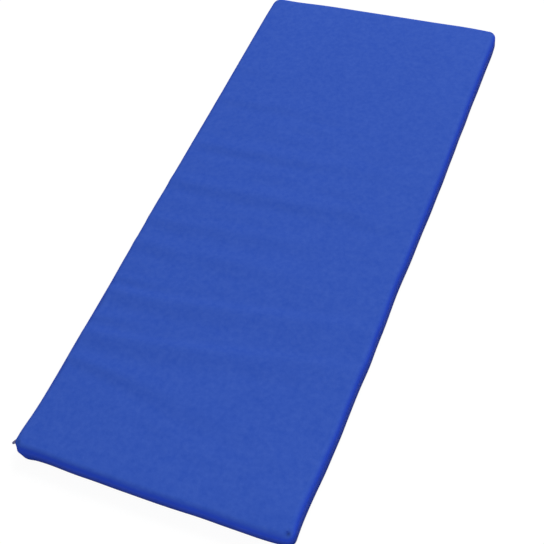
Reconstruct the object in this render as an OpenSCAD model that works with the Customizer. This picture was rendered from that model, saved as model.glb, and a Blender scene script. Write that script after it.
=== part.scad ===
// Flat foam exercise mat in a removable sewn cover, with a zip along its left long side.
// Millimetres. The origin is the centre of the base, +Y runs to the far end and +Z is up.

/* [Mat] */
// Length between the two ends, at the corners
mat_l = 1400; // [900:10:2000]
// Width between the two long sides, at the corners
mat_w = 600; // [400:10:1200]
// Thickness at the middle
mat_t = 50; // [40:1:80]
// Rise of the top from its edges to its middle
crown = 2; // [0.5:0.5:5]
// Distance from the edge over which the top rises
crown_run = 140; // [60:5:180]
// Outward swell of the two ends at their middles
end_swell = 2; // [0:0.5:6]
// Outward swell of the long side that has no zip
side_swell = 3; // [0:0.5:6]
// Radius of the upright corners
corner_r = 18; // [16:1:40]
// Radius of the edge between the top and the walls
top_edge_r = 14; // [8:1:16]
// Radius of the edge between the walls and the base
base_edge_r = 10; // [4:1:12]

/* [Cover and foam] */
// Thickness of the coated cover fabric
fabric_t = 0.8; // [0.5:0.1:1.2]
// Clearance between the cover and the foam inside it
foam_gap = 0.3; // [0.1:0.1:1]
// Thickness of the firm lower foam sheet
firm_foam_t = 20; // [12:1:30]

/* [Zip] */
// Height of the zip above the middle of the flat part of the wall
zip_rise = 4; // [0:0.5:4]
// Length of the end tabs along the straight wall
tab_run = 8; // [4:1:30]
// Distance between teeth along one row
tooth_pitch = 2.4; // [2:0.1:4]
// Reach of a tooth past the centre line of the zip
tooth_reach = 1.2; // [0.9:0.1:1.5]
// Thickness of the teeth through the tape
tooth_t = 2.4; // [2:0.1:3]
// Gap between the flanks of meshing teeth
tooth_gap = 0.2; // [0.1:0.05:0.3]
// Width of the bead that carries a row of teeth
bead_w = 1; // [0.8:0.1:1.4]
// Thickness of the woven tapes
tape_t = 0.6; // [0.4:0.1:0.8]
// Width of tape that lies behind the fabric on each side
tape_lap = 2.5; // [1.5:0.5:4]
// Length of the stops at the ends of the zip
stop_l = 2.4; // [1.6:0.2:4]
// Height of the stops above the teeth on each face
stop_rise = 0.4; // [0.2:0.1:0.5]
// Gap between an end tab and the stop beside it
zip_end_gap = 1; // [0.5:0.5:3]

/* [Slider] */
// Length of the slider
slider_l = 13; // [12:0.5:18]
// Length of the straight part at its tail
tail_run = 2.6; // [2.2:0.1:3]
// Radius of its corners at the tail and of the shoulders at the mouth
shoulder_r = 1.5; // [0.8:0.1:2]
// Thickness of the two slider plates
plate_t = 1.3; // [1:0.1:1.8]
// Running clearance between the slider and the teeth
slider_play = 0.25; // [0.2:0.05:0.4]
// Width of the flanges along the sides of the slider
flange_w = 1; // [0.8:0.1:1.6]
// Angle at which each row leaves the mouth of the slider
mouth_angle = 16; // [14:1:20]
// Radius of the bend of each row inside the slider
bend_r = 12; // [8:0.5:16]
// Length of the bridge that carries the pull
bridge_l = 8; // [7:0.5:10]
// Width of the bridge
bridge_w = 2; // [1.6:0.1:2.4]
// Thickness of the bridge
bridge_t = 1.3; // [1:0.1:1.6]
// Clear height under the bridge
bridge_h = 2.6; // [2.4:0.1:3.5]

/* [Pull] */
// Length of the pull from its bar to its tip
pull_l = 26; // [18:1:30]
// Width of the pull at its bar
pull_w = 10.4; // [8.4:0.2:12]
// Width of the pull at its tip
pull_tip_w = 9.6; // [5:0.2:10]
// Thickness of the pull
pull_t = 1.6; // [1.4:0.1:1.8]
// Radius of the round bar under the bridge
bar_r = 0.8; // [0.6:0.05:0.9]
// Length of the eye that the bridge passes through
eye_l = 5.4; // [5.2:0.2:8]
// Width of the rails beside the eye
rail_w = 1.4; // [1:0.1:1.5]
// Width of the rim round the sunk grip pad
pad_rim = 1.2; // [0.8:0.1:1.4]
// Depth of the grip pad on each face
pad_depth = 0.3; // [0.2:0.05:0.4]
// Number of grip ribs across the pad
rib_n = 4; // [2:1:4]
// Width of a grip rib
rib_w = 0.8; // [0.6:0.1:1]
// Distance between grip ribs
rib_pitch = 2; // [1.6:0.1:2.4]
// Slope of the pull below the line of the zip
pull_droop = 10; // [0:1:28]
// Angle at which the pull stands off the slider
pull_lift = 32; // [0:1:60]

/* [Hidden] */
$fn = 48;

cover_blue = [0.16, 0.29, 0.70];
foam_pale = [0.86, 0.84, 0.76];
foam_grey = [0.45, 0.46, 0.48];
tape_navy = [0.10, 0.15, 0.36];
teeth_navy = [0.14, 0.20, 0.46];
metal_grey = [0.62, 0.63, 0.66];

// Small fixed gaps
slot_gap = 0.5;
tape_gap = 0.3;
run_gap = 0.3;
bar_gap = 0.15;
relief_gap = 0.4;
over = 1;
bridge_sink = 0.5;
relief_end = 0.5;

// Zip rows: the bead's middle line, and the teeth on it
bead_in = tooth_reach + tooth_gap;
bead_mid = bead_in + bead_w / 2;
bead_out = bead_in + bead_w;
tip_share = 0.55;
tip_w = tip_share * tooth_pitch - tooth_gap;
root_w = (1 - tip_share) * tooth_pitch - tooth_gap;
stop_t = tooth_t + 2 * stop_rise;

// Slider, along the zip from its tail to its mouth
bend_u = bend_r * sin(mouth_angle);
bend_v = bend_r * (1 - cos(mouth_angle));
mouth_v = bead_mid + bend_v + (slider_l - tail_run - bend_u) * tan(mouth_angle);
mouth_half = mouth_v + bead_w / 2 / cos(mouth_angle) + slider_play;
tail_half = bead_out + slider_play;
tail_out = tail_half + flange_w;
slider_half = mouth_half + flange_w;
flare = atan2(slider_half - tail_out, slider_l - tail_run);
channel_half = tooth_t / 2 + slider_play;
plate_top = channel_half + plate_t;
wedge_half = mouth_v - (bead_mid + tooth_reach) / cos(mouth_angle) - slider_play;
wedge_l = wedge_half / tan(mouth_angle);

// Wall of the mat and the slot in it
slot_h = 2 * (slider_half + slot_gap);
edge_z = mat_t - crown;
base_r = base_edge_r;
top_r = min(top_edge_r, edge_z - base_r - slot_h - 2 * zip_rise);
flat_top = edge_z - top_r;
zip_z = (base_r + flat_top) / 2 + zip_rise;
slot_top = zip_z + slot_h / 2;
slot_bottom = zip_z - slot_h / 2;
side_run = mat_l / 2 - corner_r;
open_half = side_run - tab_run;
core_inset = fabric_t + foam_gap;
split_z = core_inset + firm_foam_t;

// Zip along the wall: u runs from the far stop to the near stops
zip_far_y = open_half - zip_end_gap;
zip_l = 2 * zip_far_y;
mouth_u = zip_l - stop_l - run_gap;
tail_u = mouth_u - slider_l;
bend_start = tail_u + tail_run;
bend_len = bend_r * mouth_angle * PI / 180;
row_end = bend_start + bend_len + (mouth_u + run_gap - bend_start - bend_u) / cos(mouth_angle);
tape_half = slot_h / 2 + tape_lap;
tape_x = -mat_w / 2 + fabric_t + tape_gap + tape_t / 2;
relief_x = tape_x + plate_top + relief_gap;
bar_u = tail_u + slider_l / 2 + bridge_l / 2 - bridge_t - bar_gap
      - bar_r / cos(pull_droop) - bridge_w / 2 * tan(pull_droop);
bar_h = plate_top + run_gap + pull_t / 2;

// Segments of the soft surfaces
corner_n = 6;
top_n = 4;
base_n = 3;
end_n = 3;
right_n = 5;
bend_n = 6;
shoulder_n = 6;
least_r = 2;
crown_step = 0.4;

// Outline of the mat in plan, set in by d, from the far right corner round to the right side
swell = [end_swell, 0, end_swell, side_swell];
function spread(n) = [for (j = [1 : n]) 2 * j / (n + 1) - 1];
stations = [spread(end_n), [-open_half / side_run, open_half / side_run], spread(end_n), spread(right_n)];
function plan_r(d) = max(corner_r - d, least_r);
function plan_half(d) = [mat_w / 2 - d, mat_l / 2 - d];
function corner_pt(q, d, a) =
  let (r = plan_r(d), h = plan_half(d))
  [(q == 0 || q == 3 ? 1 : -1) * (h.x - r), (q < 2 ? 1 : -1) * (h.y - r)] + r * [cos(a), sin(a)];
function side_pt(q, d, t) =
  let (h = plan_half(d), a = 90 * (q + 1), out = q % 2 == 0 ? h.y : h.x)
  let (run = (q % 2 == 0 ? h.x : h.y) - plan_r(d))
  (out + swell[q] * (1 - t * t)) * [cos(a), sin(a)] + t * run * [-sin(a), cos(a)];
function outline(d) = [
  for (q = [0 : 3])
    each concat(
      [for (j = [0 : corner_n]) corner_pt(q, d, 90 * (q + j / corner_n))],
      [for (t = stations[q]) side_pt(q, d, t)]
    )
];
K = len(outline(0));

// Profile of the mat from the top down: [inset, height, outward part and upward part of the normal]
function crown_ring(f) = [top_r + f * (crown_run - top_r), edge_z + crown * (1 - pow(1 - f, 2)), 0, 1];
function arc_ring(r, z, a) = [r * (1 - cos(a)), z + r * sin(a), cos(a), sin(a)];
function wall_ring(z) = [0, z, 1, 0];
top_rings = concat(
  [crown_ring(1), crown_ring(crown_step)],
  [for (j = [0 : top_n]) arc_ring(top_r, flat_top, 90 * (1 - j / top_n))]
);
base_rings = [for (j = [0 : base_n]) arc_ring(base_r, base_r, -90 * j / base_n)];
cover_rings = concat(top_rings, [wall_ring(slot_top), wall_ring(slot_bottom)], base_rings);
slot_band = len(top_rings);

// Points of a list of rings, set in from the outer surface by t
function ring_points(rings, t) = [
  for (g = rings, p = outline(g[0] + t * g[2])) [p.x, p.y, g[1] - t * g[3]]
];

// Closed solid between the first and the last of a list of rings
module ring_solid(rings, t) {
  n = len(rings);
  bands = [
    for (i = [0 : n - 2], k = [0 : K - 1])
      let (a = i * K + k, b = i * K + (k + 1) % K)
      each [[a, b, b + K], [a, b + K, a + K]]
  ];
  lids = [[for (k = [K - 1 : -1 : 0]) k], [for (k = [0 : K - 1]) (n - 1) * K + k]];
  polyhedron(ring_points(rings, t), concat(bands, lids), convexity = 6);
}

// One panel of the cover: the cells of the surface for which has(band, step) is true
module panel(has, lid = false) {
  n = len(cover_rings);
  layer = n * K;
  cells = [for (i = [0 : n - 2], k = [0 : K - 1]) if (has(i, k)) [i, k]];
  faces = [
    for (c = cells)
      let (i = c[0], k = c[1], k2 = (k + 1) % K)
      let (q = [i * K + k, i * K + k2, (i + 1) * K + k2, (i + 1) * K + k])
      let (beside = [[i - 1, k], [i, k2], [i + 1, k], [i, (k + K - 1) % K]])
      each concat(
        [[q[0], q[1], q[2]], [q[0], q[2], q[3]]],
        [[q[2], q[1], q[0]] + layer * [1, 1, 1], [q[3], q[2], q[0]] + layer * [1, 1, 1]],
        [
          for (e = [0 : 3])
            let (s = beside[e], p0 = q[e], p1 = q[(e + 1) % 4])
            let (open = s[0] < 0 ? !lid : s[0] > n - 2 || !has(s[0], s[1]))
            if (open) each [[p1, p0, p0 + layer], [p1, p0 + layer, p1 + layer]]
        ]
      )
  ];
  lids = lid ? [[for (k = [K - 1 : -1 : 0]) k], [for (k = [0 : K - 1]) layer + k]] : [];
  polyhedron(concat(ring_points(cover_rings, 0), ring_points(cover_rings, fabric_t)),
    concat(faces, lids), convexity = 6);
}

// Steps of the outline between which the left wall lies, and where its slot is open
far_seam = corner_n + 1 + end_n + corner_n / 2;
open_step = far_seam + corner_n / 2 + 1;
near_seam = open_step + 2 + corner_n / 2;
function on_left(k) = k >= far_seam && k < near_seam;

module cover_top() {
  color(cover_blue) panel(function(i, k) !(on_left(k) && i >= slot_band), true);
}

module zip_facing() {
  color(cover_blue) panel(function(i, k) on_left(k) && i > slot_band);
}

module near_zip_tab() {
  color(cover_blue) panel(function(i, k) on_left(k) && i == slot_band && k > open_step);
}

module far_zip_tab() {
  color(cover_blue) panel(function(i, k) on_left(k) && i == slot_band && k < open_step);
}

module base_panel() {
  color(cover_blue) linear_extrude(fabric_t) polygon(outline(base_r));
}

// Room in the foam for the zip and the back of its slider
module zip_relief() {
  reach = side_run - relief_end;
  height = 2 * (tape_half + relief_gap);
  translate([-mat_w / 2 - over, -reach, zip_z - height / 2])
    cube([relief_x + mat_w / 2 + over, 2 * reach, height]);
}

module foam_soft_sheet() {
  color(foam_pale) difference() {
    ring_solid(concat(top_rings, [wall_ring(split_z)]), core_inset);
    zip_relief();
  }
}

module foam_firm_sheet() {
  color(foam_grey) difference() {
    ring_solid(concat([wall_ring(split_z)], base_rings), core_inset);
    zip_relief();
  }
}

// Frame of the zip: x along it to the near end, y up the wall and z outward
module on_wall() {
  translate([tape_x, zip_far_y, zip_z]) rotate([90, 0, -90]) children();
}

// Upper row: direction and place at the length s along its bead, and a point in that frame
function row_angle(s) = min(max((s - bend_start) / bend_r * 180 / PI, 0), mouth_angle);
function row_pt(s, along, across) =
  let (a = row_angle(s), past = max(s - bend_start - bend_len, 0))
  [min(s, bend_start) + bend_r * sin(a), bead_mid + bend_r * (1 - cos(a))]
  + (past + along) * [cos(a), sin(a)] + across * [-sin(a), cos(a)];

// Outer edge of the bead from the start of the bend on, up to the length s_end
function bead_edge(s_end) = concat(
  [for (j = [0 : bend_n]) row_pt(bend_start + bend_len * j / bend_n, 0, bead_w / 2)],
  [row_pt(s_end, 0, bead_w / 2)]
);

module teeth_row(first) {
  count = floor((row_end - tip_w / 2 - first) / tooth_pitch) + 1;
  tooth = [[root_w / 2, -bead_w / 2], [tip_w / 2, -tooth_reach - bead_mid],
           [-tip_w / 2, -tooth_reach - bead_mid], [-root_w / 2, -bead_w / 2]];
  comb = [for (j = [count - 1 : -1 : 0], p = tooth) row_pt(first + j * tooth_pitch, p.x, p.y)];
  linear_extrude(tooth_t, center = true)
    polygon(concat(
      [[stop_l, bead_out]], bead_edge(row_end), [row_pt(row_end, 0, -bead_w / 2)],
      comb, [[stop_l, bead_in]]
    ));
}

module tape() {
  far = zip_far_y - side_run + zip_end_gap;
  near = zip_far_y + side_run - zip_end_gap;
  edge = bead_edge(row_end + stop_l);
  turn = edge[len(edge) - 1].y;
  linear_extrude(tape_t, center = true)
    polygon(concat(
      [[far, bead_out]], edge, [[near, turn], [near, tape_half], [far, tape_half]]
    ));
}

module zip_tape_upper() {
  color(tape_navy) on_wall() tape();
}

module zip_tape_lower() {
  color(tape_navy) on_wall() mirror([0, 1, 0]) tape();
}

module zip_teeth_upper() {
  color(teeth_navy) on_wall() teeth_row(stop_l + tooth_pitch / 2);
}

module zip_teeth_lower() {
  color(teeth_navy) on_wall() mirror([0, 1, 0]) teeth_row(stop_l + tooth_pitch);
}

module zip_top_stops() {
  corners = [[0, -bead_mid], [stop_l, -bead_mid], [stop_l, bead_w / 2], [0, bead_w / 2]];
  color(teeth_navy) on_wall()
    for (side = [0, 1])
      mirror([0, side, 0]) linear_extrude(stop_t, center = true)
        polygon([for (c = corners) row_pt(row_end, c.x, c.y)]);
}

module zip_bottom_stop() {
  color(teeth_navy) on_wall()
    translate([0, -bead_out, -stop_t / 2]) cube([stop_l, 2 * bead_out, stop_t]);
}

// Points of a corner of radius r, round which a path turns clockwise from heading a to heading b
function rounded(corner, r, a, b) =
  let (middle = corner - r * tan((a - b) / 2) * [cos(a), sin(a)] + r * [sin(a), -cos(a)])
  [for (j = [0 : shoulder_n]) let (h = a + (b - a) * j / shoulder_n) middle + r * [-sin(h), cos(h)]];

// Area between the upper edge of a form and its mirror image
module both_halves(edge) {
  polygon(concat(edge, [for (j = [len(edge) - 1 : -1 : 0]) [edge[j].x, -edge[j].y]]));
}

// Slider plates in plan, from the tail to the mouth, and the channel for the rows between them
module slider_plan() {
  both_halves(concat(
    rounded([0, tail_out], shoulder_r, 90, 0), [[tail_run, tail_out]],
    rounded([slider_l, slider_half], shoulder_r, flare, -90)
  ));
}

module channel() {
  both_halves([
    [-over, tail_half], [tail_run, tail_half], [slider_l, mouth_half], [slider_l + over, mouth_half]
  ]);
}

module wedge() {
  polygon([[slider_l - wedge_l, 0], [slider_l, wedge_half], [slider_l, -wedge_half]]);
}

module bridge() {
  straight = bridge_l - 2 * bridge_t;
  rotate([90, 0, 0]) linear_extrude(bridge_w, center = true) difference() {
    union() {
      translate([-bridge_l / 2, -bridge_sink]) square([bridge_l, bridge_h + bridge_sink]);
      translate([-straight / 2, 0]) square([straight, bridge_h + bridge_t]);
      for (side = [-1, 1]) translate([side * straight / 2, bridge_h]) circle(bridge_t);
    }
    translate([-straight / 2, 0]) square([straight, bridge_h]);
  }
}

module zip_slider() {
  color(metal_grey) on_wall() translate([tail_u, 0, 0]) {
    difference() {
      linear_extrude(2 * plate_top, center = true) slider_plan();
      linear_extrude(2 * channel_half, center = true) difference() {
        channel();
        wedge();
      }
      linear_extrude(tape_t + 2 * tape_gap, center = true) difference() {
        translate([-over, -slider_half - over]) square([slider_l + 2 * over, 2 * (slider_half + over)]);
        wedge();
      }
    }
    translate([slider_l / 2, 0, plate_top]) bridge();
  }
}

// Half width of the tapered pull at the distance x from its bar
tip_r = pull_tip_w / 2;
tip_x = pull_l - tip_r;
function pull_half(x) = pull_w / 2 + (tip_r - pull_w / 2) * x / tip_x;

// Outline of the pull from the distance start to its round tip, set in by d
module pull_plan(start, d) {
  both_halves([[start, pull_half(start) - d], [tip_x, tip_r - d]]);
  translate([tip_x, 0]) circle(tip_r - d);
}

module zip_pull() {
  color(metal_grey) on_wall()
    translate([bar_u, 0, bar_h]) rotate([0, 0, -pull_droop]) rotate([0, -pull_lift, 0]) {
      difference() {
        linear_extrude(pull_t, center = true) difference() {
          pull_plan(0, 0);
          translate([-over, rail_w - pull_w / 2]) square([eye_l + over, pull_w - 2 * rail_w]);
        }
        for (side = [-1, 1])
          translate([0, 0, side * pull_t / 2]) linear_extrude(2 * pad_depth, center = true)
            pull_plan(eye_l + pad_rim, pad_rim);
      }
      for (j = [0 : rib_n - 1])
        translate([tip_x - j * rib_pitch, 0, 0]) cube([rib_w, 2 * tip_r - pad_rim, pull_t], center = true);
      rotate([90, 0, 0]) cylinder(r = bar_r, h = pull_w, center = true);
    }
}

foam_soft_sheet();
foam_firm_sheet();
cover_top();
base_panel();
zip_facing();
near_zip_tab();
far_zip_tab();
zip_tape_upper();
zip_tape_lower();
zip_teeth_upper();
zip_teeth_lower();
zip_top_stops();
zip_bottom_stop();
zip_slider();
zip_pull();
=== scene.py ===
import math

import bmesh
import bpy
import numpy as np
from mathutils import Matrix, Vector


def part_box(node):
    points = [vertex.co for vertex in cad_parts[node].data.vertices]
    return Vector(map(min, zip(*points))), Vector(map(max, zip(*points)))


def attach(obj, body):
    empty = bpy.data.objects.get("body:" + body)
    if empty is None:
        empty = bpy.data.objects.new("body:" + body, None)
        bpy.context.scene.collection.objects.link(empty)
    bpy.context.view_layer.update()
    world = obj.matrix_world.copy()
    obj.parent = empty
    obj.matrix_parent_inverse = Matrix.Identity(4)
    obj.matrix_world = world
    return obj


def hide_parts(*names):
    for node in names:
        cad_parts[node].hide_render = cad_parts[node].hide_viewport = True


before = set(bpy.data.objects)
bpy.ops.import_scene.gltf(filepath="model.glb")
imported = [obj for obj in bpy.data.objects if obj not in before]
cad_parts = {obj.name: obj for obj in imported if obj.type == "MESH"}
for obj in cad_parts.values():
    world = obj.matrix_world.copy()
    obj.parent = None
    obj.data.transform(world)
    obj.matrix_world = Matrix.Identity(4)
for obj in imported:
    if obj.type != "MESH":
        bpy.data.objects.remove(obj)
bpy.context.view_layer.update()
scene = bpy.context.scene
scene.view_settings.view_transform = "Standard"
print("frame loaded:", len(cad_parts), "nodes")

# Camera at the photo's viewing angle
cameraView = {
    "place": (0.7508, -1.2946, 1.8134),  # metres
    "azimuth": 32.021,  # degrees, as are the next two
    "elevation": 52.703,
    "roll": -12.335,
    "lens": 68.57,  # millimetres
    "sensor": 36.0,
}


def linked(data):
    # a new object in the scene, named as its mesh, lamp or camera
    made = bpy.data.objects.new(data.name, data)
    scene.collection.objects.link(made)
    return made


def makeCamera(view):
    az, el, roll = (math.radians(view[k]) for k in ("azimuth", "elevation", "roll"))
    right = Vector((math.cos(az), math.sin(az), 0))
    ahead = Vector((-math.sin(az) * math.cos(el), math.cos(az) * math.cos(el), -math.sin(el)))
    above = right.cross(ahead)
    across = math.cos(roll) * right + math.sin(roll) * above
    up = math.cos(roll) * above - math.sin(roll) * right
    data = bpy.data.cameras.new("camera")
    data.lens = view["lens"]
    data.sensor_width = view["sensor"]
    scene.camera = linked(data)
    turn = Matrix((across, up, -ahead)).transposed().to_4x4()
    scene.camera.matrix_world = Matrix.Translation(view["place"]) @ turn


makeCamera(cameraView)
print("camera set")

# Sizes of the mat, in metres, from the frame and from the form of its edges
coverLow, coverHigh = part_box("cover_top")
tabLow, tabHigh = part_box("near_zip_tab")
matForm = {
    "endSwell": 0.002,  # outward bow of the two ends
    "cornerRadius": 0.018,  # upright corners
    "topEdge": 0.014,  # rounding between top and walls
    "crown": 0.002,  # rise of the top to its middle
    "crownRun": 0.140,  # distance over which it rises
    "leastRadius": 0.002,  # of the corners far inside the outline
    "acrossCells": 100,  # cells of the cover between the corners
    "alongCells": 240,
    "cornerCells": 6,  # cells in half a corner, finer towards its middle
    "cornerCrowding": 1.7,
}
halfWidth = -coverLow.x
halfLength = coverHigh.y - matForm["endSwell"]
sideSwell = coverHigh.x - halfWidth
edgeHeight = coverHigh.z - matForm["crown"]
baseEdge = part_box("base_panel")[0].x - coverLow.x
flatTop = edgeHeight - matForm["topEdge"]
slotLow, slotHigh = tabLow.z, tabHigh.z
openHalf = -tabHigh.y
zipHeight = (slotLow + slotHigh) / 2


def stations(cells, corner):
    # straight part of a side from -1 to 1, then half a corner at each end, out to -2 and 2
    beyond = 2 - (1 - np.arange(1, corner + 1) / corner) ** matForm["cornerCrowding"]
    return np.concatenate([-beyond[::-1], np.linspace(-1, 1, cells + 1), beyond])


def edgePoints(side, s, inset):
    endOn = side in ("near", "far")
    swell = matForm["endSwell"] if endOn else {"left": 0.0, "right": sideSwell}[side]
    along, out = (halfWidth, halfLength) if endOn else (halfLength, halfWidth)
    radius = max(matForm["cornerRadius"] - inset, matForm["leastRadius"])
    t = np.clip(s, -1, 1)
    angle = (np.abs(s) - np.abs(t)) * math.pi / 4
    a = t * (along - inset - radius) + np.sign(s) * radius * np.sin(angle)
    b = out - inset - radius * (1 - np.cos(angle)) + swell * (1 - t * t)
    sign = -1 if side in ("near", "left") else 1
    return np.stack([a, sign * b] if endOn else [sign * b, a], axis=-1)


def loopPoints(acrossStations, alongStations, inset):
    # round the mat once: near side, right side, far side, left side
    return np.concatenate([
        edgePoints("near", acrossStations[:-1], inset),
        edgePoints("right", alongStations[:-1], inset),
        edgePoints("far", acrossStations[:0:-1], inset),
        edgePoints("left", alongStations[:0:-1], inset),
    ])


def patchPoints(acrossStations, alongStations, inset):
    # grid of points inside the loop at that inset, blended from its four sides
    near, far = (edgePoints(k, acrossStations, inset) for k in ("near", "far"))
    left, right = (edgePoints(k, alongStations, inset) for k in ("left", "right"))
    u = ((near[:, 0] - near[0, 0]) / (near[-1, 0] - near[0, 0]))[:, None, None]
    v = ((left[:, 1] - left[0, 1]) / (left[-1, 1] - left[0, 1]))[None, :, None]
    between = (1 - v) * near[:, None] + v * far[:, None] + (1 - u) * left[None] + u * right[None]
    corners = (1 - v) * ((1 - u) * near[0] + u * near[-1]) + v * ((1 - u) * far[0] + u * far[-1])
    return between - corners


def crownHeight(x, y):
    run = matForm["crownRun"] - matForm["topEdge"]
    fx = np.clip((halfWidth - np.abs(x) - matForm["topEdge"]) / run, 0, 1)
    fy = np.clip((halfLength - np.abs(y) - matForm["topEdge"]) / run, 0, 1)
    return matForm["crown"] * (1 - (1 - fx) ** 2) * (1 - (1 - fy) ** 2)


def arcRings(radius, height, start, end, steps):
    # (inset, height) of the rings round an edge, by the slope of the surface in degrees
    slopes = np.radians(np.linspace(start, end, steps + 1))
    return [(radius * (1 - math.cos(a)), height + radius * math.sin(a)) for a in slopes]


def wallRings(start, end, steps):
    return [(0.0, z) for z in np.linspace(start, end, steps + 1)]


# Meshes and pieces
def meshFrom(name, points, faces, flat=None):
    # drops the points that no face uses; flat is the place of each point on the flat cloth
    mesh = bpy.data.meshes.new(name)
    used, order = np.unique(np.concatenate(faces), return_inverse=True)
    ends = np.cumsum([len(f) for f in faces])
    corners = [order[b - len(f):b].tolist() for f, b in zip(faces, ends)]
    mesh.from_pydata(np.asarray(points)[used].tolist(), [], corners)
    if flat is not None:
        layer = mesh.uv_layers.new(name="cloth")
        corner = np.zeros(len(mesh.loops), np.int32)
        mesh.loops.foreach_get("vertex_index", corner)
        layer.data.foreach_set("uv", np.asarray(flat)[used][corner].astype(np.float32).ravel())
    mesh.polygons.foreach_set("use_smooth", np.ones(len(mesh.polygons), bool))
    mesh.update()
    return mesh


def vertexValues(mesh, name):
    values = np.zeros(len(mesh.vertices) * 3, np.float32)
    mesh.vertices.foreach_get(name, values)
    return values.reshape(-1, 3).astype(float)


def addPiece(mesh, material):
    mesh.materials.clear()
    mesh.materials.append(material)
    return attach(linked(mesh), "mat")


def standIn(piece, node, slot):
    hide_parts(node)


def thicken(piece, thickness, offset=-1):
    wall = piece.modifiers.new("cloth", "SOLIDIFY")
    wall.thickness = thickness
    wall.offset = offset
    return piece


def flipped(faces):
    # the same faces seen from behind, each from its own first corner
    return [f[:1] + f[:0:-1] for f in faces]


def rowIndex(rows, columns, first=0):
    return first + np.arange(rows * columns).reshape(rows, columns)


def bandFaces(rows, picks):
    # quads between neighbouring rows of points, at the picked places along rows that may be closed
    return [
        (upper[k], lower[k], lower[(k + 1) % len(lower)], upper[(k + 1) % len(upper)])
        for upper, lower in zip(rows[:-1], rows[1:]) for k in picks
    ]


def gridFaces(rows, columns):
    return bandFaces(rowIndex(rows, columns), range(columns - 1))


def tubeFaces(rings, sides):
    # quads round a tube, and its two ends
    index = rowIndex(rings, sides)
    return flipped(bandFaces(index, range(sides))) + [tuple(index[0, ::-1]), tuple(index[-1])]


def atHeight(flat, z):
    return np.column_stack([flat, np.full(len(flat), z)])


# Shared shader effects
def shaderGroup(name, values, output):
    # a node group that reads a place and some named values, and puts out one value
    group = bpy.data.node_groups.new(name, "ShaderNodeTree")
    group.interface.new_socket("Vector", in_out="INPUT", socket_type="NodeSocketVector")
    for label in values:
        group.interface.new_socket(label, in_out="INPUT", socket_type="NodeSocketFloat")
    group.interface.new_socket(output, in_out="OUTPUT", socket_type="NodeSocketFloat")
    return group, group.nodes.new("NodeGroupInput"), group.nodes.new("NodeGroupOutput")


def mathNode(tree, operation, first, second=None):
    node = tree.nodes.new("ShaderNodeMath")
    node.operation = operation
    for slot, value in zip(node.inputs, (first, second)):
        if isinstance(value, (int, float)):
            slot.default_value = value
        elif value is not None:
            tree.links.new(value, slot)
    return node.outputs[0]


def makeWeave():
    group, given, made = shaderGroup("plainWeave", ["Pitch"], "Height")
    split = group.nodes.new("ShaderNodeSeparateXYZ")
    group.links.new(given.outputs["Vector"], split.inputs[0])
    counts = [mathNode(group, "DIVIDE", split.outputs[k], given.outputs["Pitch"]) for k in (0, 1)]
    threads = [
        mathNode(group, "ABSOLUTE", mathNode(group, "SINE", mathNode(group, "MULTIPLY", c, math.pi)))
        for c in counts
    ]
    floors = [mathNode(group, "FLOOR", c) for c in counts]
    over = mathNode(group, "FLOORED_MODULO", mathNode(group, "ADD", *floors), 2.0)
    under = mathNode(group, "SUBTRACT", 1.0, over)
    shown = [mathNode(group, "MULTIPLY", thread, mask) for thread, mask in zip(threads, (over, under))]
    group.links.new(mathNode(group, "ADD", *shown), made.inputs["Height"])
    return group


mottleForm = {
    "detail": 4.0,
    "roughness": 0.6,
    "noiseLow": 0.3,  # the part of the noise's range that becomes Low to High
    "noiseHigh": 0.7,
}


def makeMottle(s):
    group, given, made = shaderGroup("mottle", ["Scale", "Low", "High"], "Value")
    cloud, spread = group.nodes.new("ShaderNodeTexNoise"), group.nodes.new("ShaderNodeMapRange")
    cloud.inputs["Detail"].default_value = s["detail"]
    cloud.inputs["Roughness"].default_value = s["roughness"]
    spread.inputs["From Min"].default_value = s["noiseLow"]
    spread.inputs["From Max"].default_value = s["noiseHigh"]
    join = group.links.new
    join(given.outputs["Vector"], cloud.inputs["Vector"])
    join(given.outputs["Scale"], cloud.inputs["Scale"])
    join(cloud.outputs[0], spread.inputs["Value"])
    join(given.outputs["Low"], spread.inputs["To Min"])
    join(given.outputs["High"], spread.inputs["To Max"])
    join(spread.outputs[0], made.inputs["Value"])
    return group


plainWeave = makeWeave()
mottle = makeMottle(mottleForm)


def pickBySocket(node, name, kind):
    return next(s for s in node.inputs if s.name == name and s.type == kind)


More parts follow.
